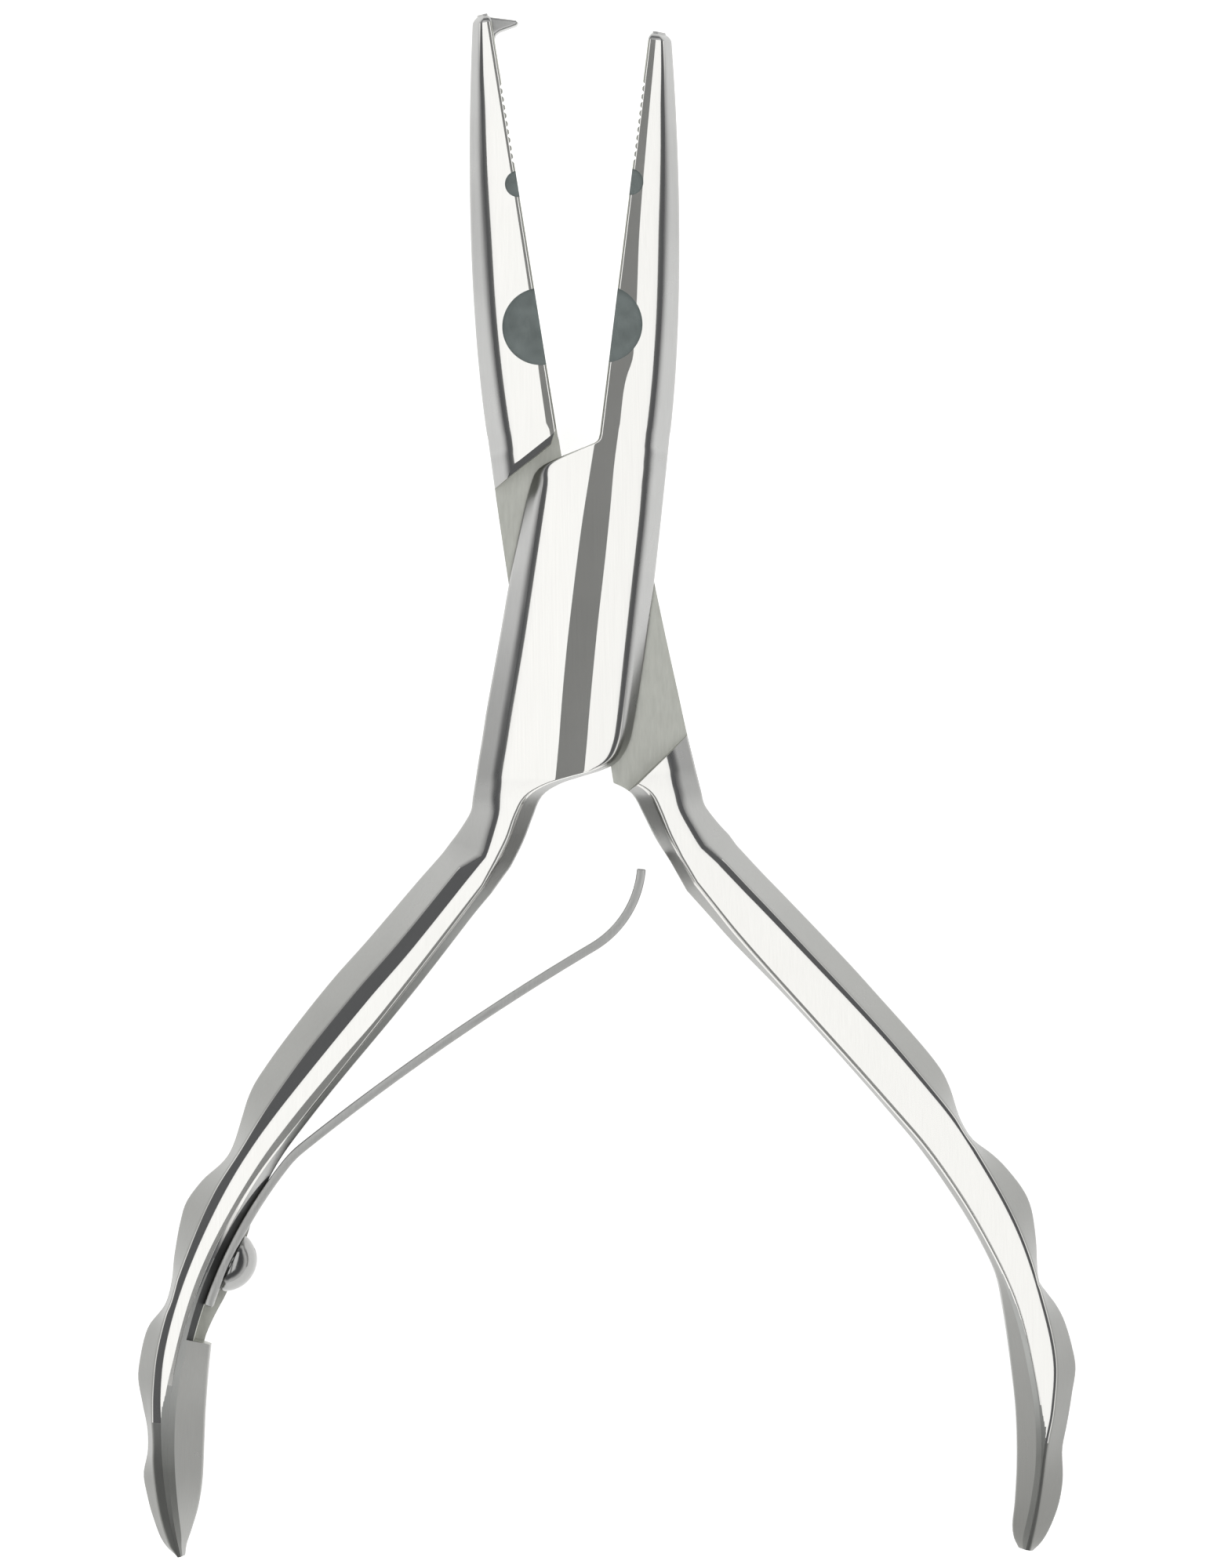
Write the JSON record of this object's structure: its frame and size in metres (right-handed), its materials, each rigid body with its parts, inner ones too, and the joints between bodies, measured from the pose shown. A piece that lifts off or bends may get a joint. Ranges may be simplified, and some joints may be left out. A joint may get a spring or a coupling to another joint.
{
  "type": "fishing pliers",
  "caption": "Slim polished-steel split-ring fishing pliers with a box joint, a hook tooth at the jaw tip, finger-grooved handles and a screwed-on leaf spring that pushes them open.",
  "frame": {"origin": "on the pivot axis, in the plane of the back face that the pliers lie on", "axes": "+Z along the pivot axis towards the front face, +Y along the closing line towards the jaws, +X towards the plain jaw"},
  "size_m": [0.085, 0.1403, 0.0084],
  "materials": {
    "polished_steel": "polished",
    "spring_steel": "satin",
    "screw_steel": "polished"
  },
  "bodies": {
    "box_side": {"box_half": "polished_steel", "pivot_pin": "polished_steel", "leaf_spring": "spring_steel", "spring_screw": "screw_steel"},
    "tongue_side": {"tongue_half": "polished_steel"}
  },
  "joints": [
    {"name": "pivot", "type": "hinge", "parent": "box_side", "child": "tongue_side", "pos_m": [0, 0, 0], "axis": [0, 0, 1], "range_deg": [-15.9, 14], "stiffness_Nm_per_rad": 1.5, "deforming": ["leaf_spring"]}
  ]
}
